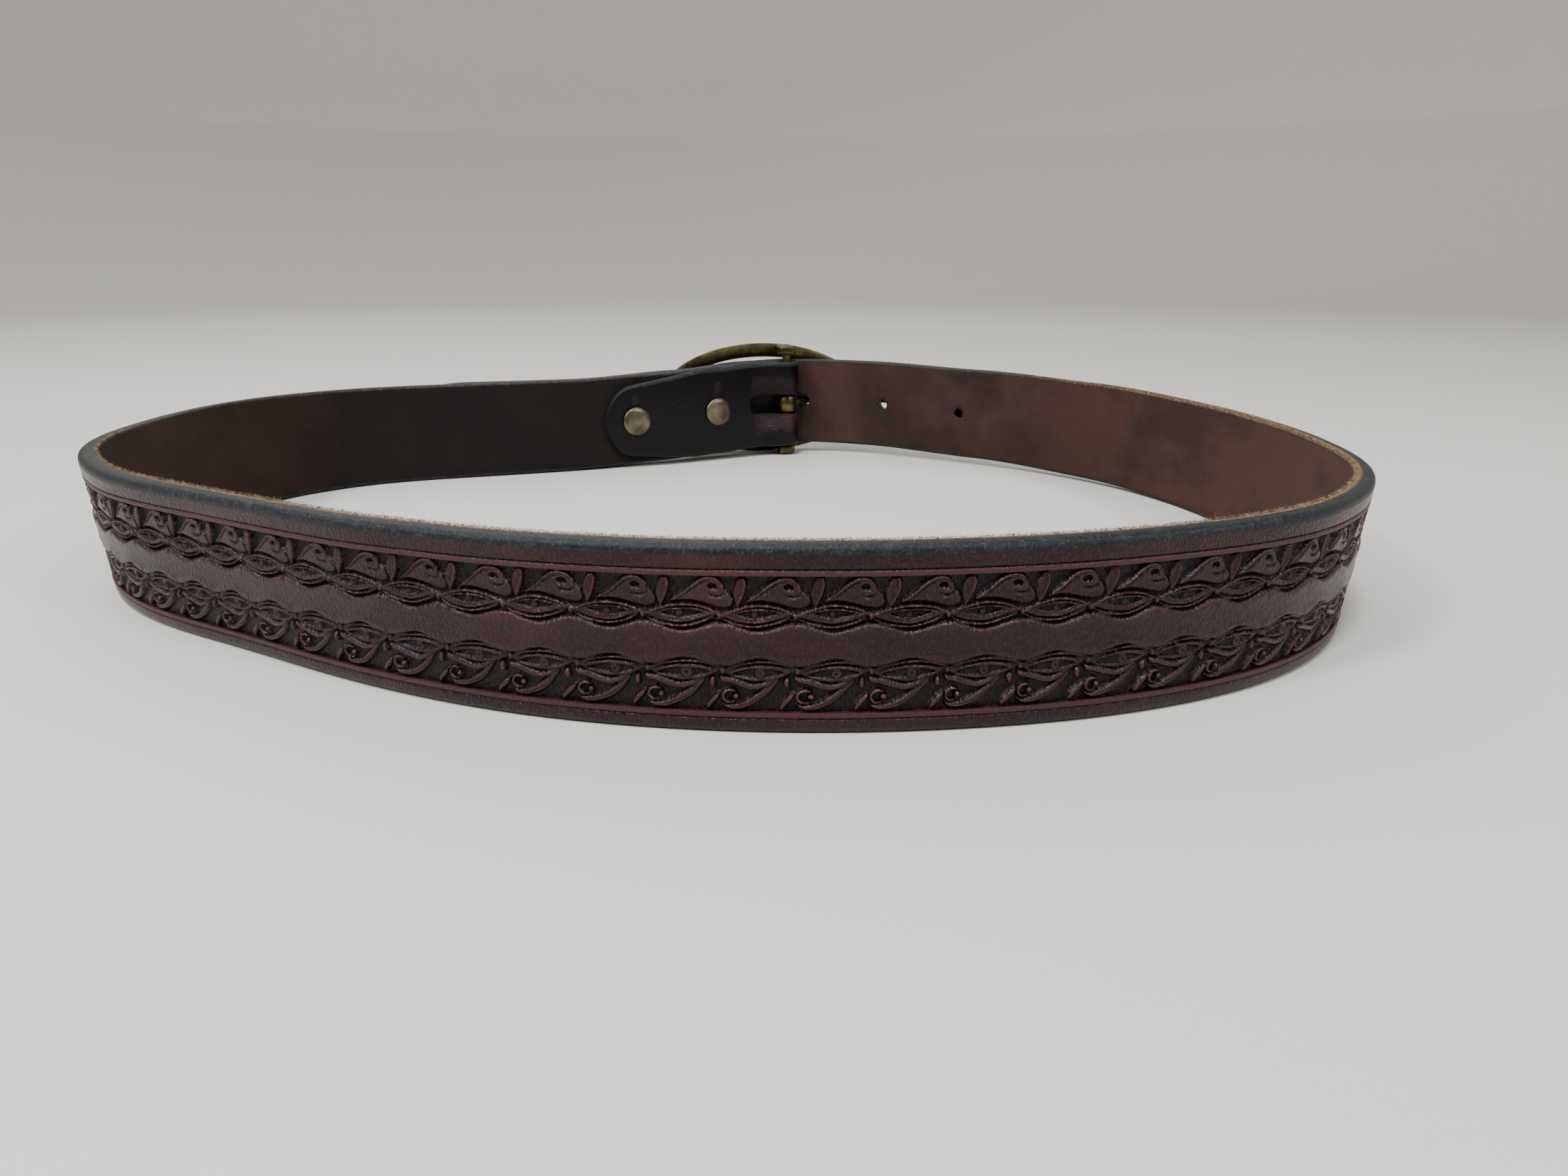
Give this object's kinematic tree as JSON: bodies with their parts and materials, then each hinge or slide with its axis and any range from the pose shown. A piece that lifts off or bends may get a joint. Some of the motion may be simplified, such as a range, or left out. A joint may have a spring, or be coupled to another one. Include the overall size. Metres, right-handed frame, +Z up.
{
  "type": "western tooled leather belt with an oval frame buckle",
  "caption": "Fastened western waist belt of heavy leather with stamped borders, an oval frame buckle with a prong, and a snapped fold-over tab, standing on its edge.",
  "frame": {"origin": "bottom centre of the whole fastened belt, on the surface that it stands on", "axes": "+X towards the waist's right as the picture sees it, +Y towards the buckle, +Z up across the strap's width"},
  "size_m": [0.3616, 0.3082, 0.0494],
  "materials": {
    "leather": "dark reddish brown, satin grain side",
    "buckle_metal": "aged brass, satin",
    "snap_metal": "dull greyed brass"
  },
  "bodies": {
    "root": {"strap": "leather", "buckle": "buckle_metal", "prong": "buckle_metal", "snap_1": "snap_metal", "snap_2": "snap_metal"}
  },
  "joints": []
}
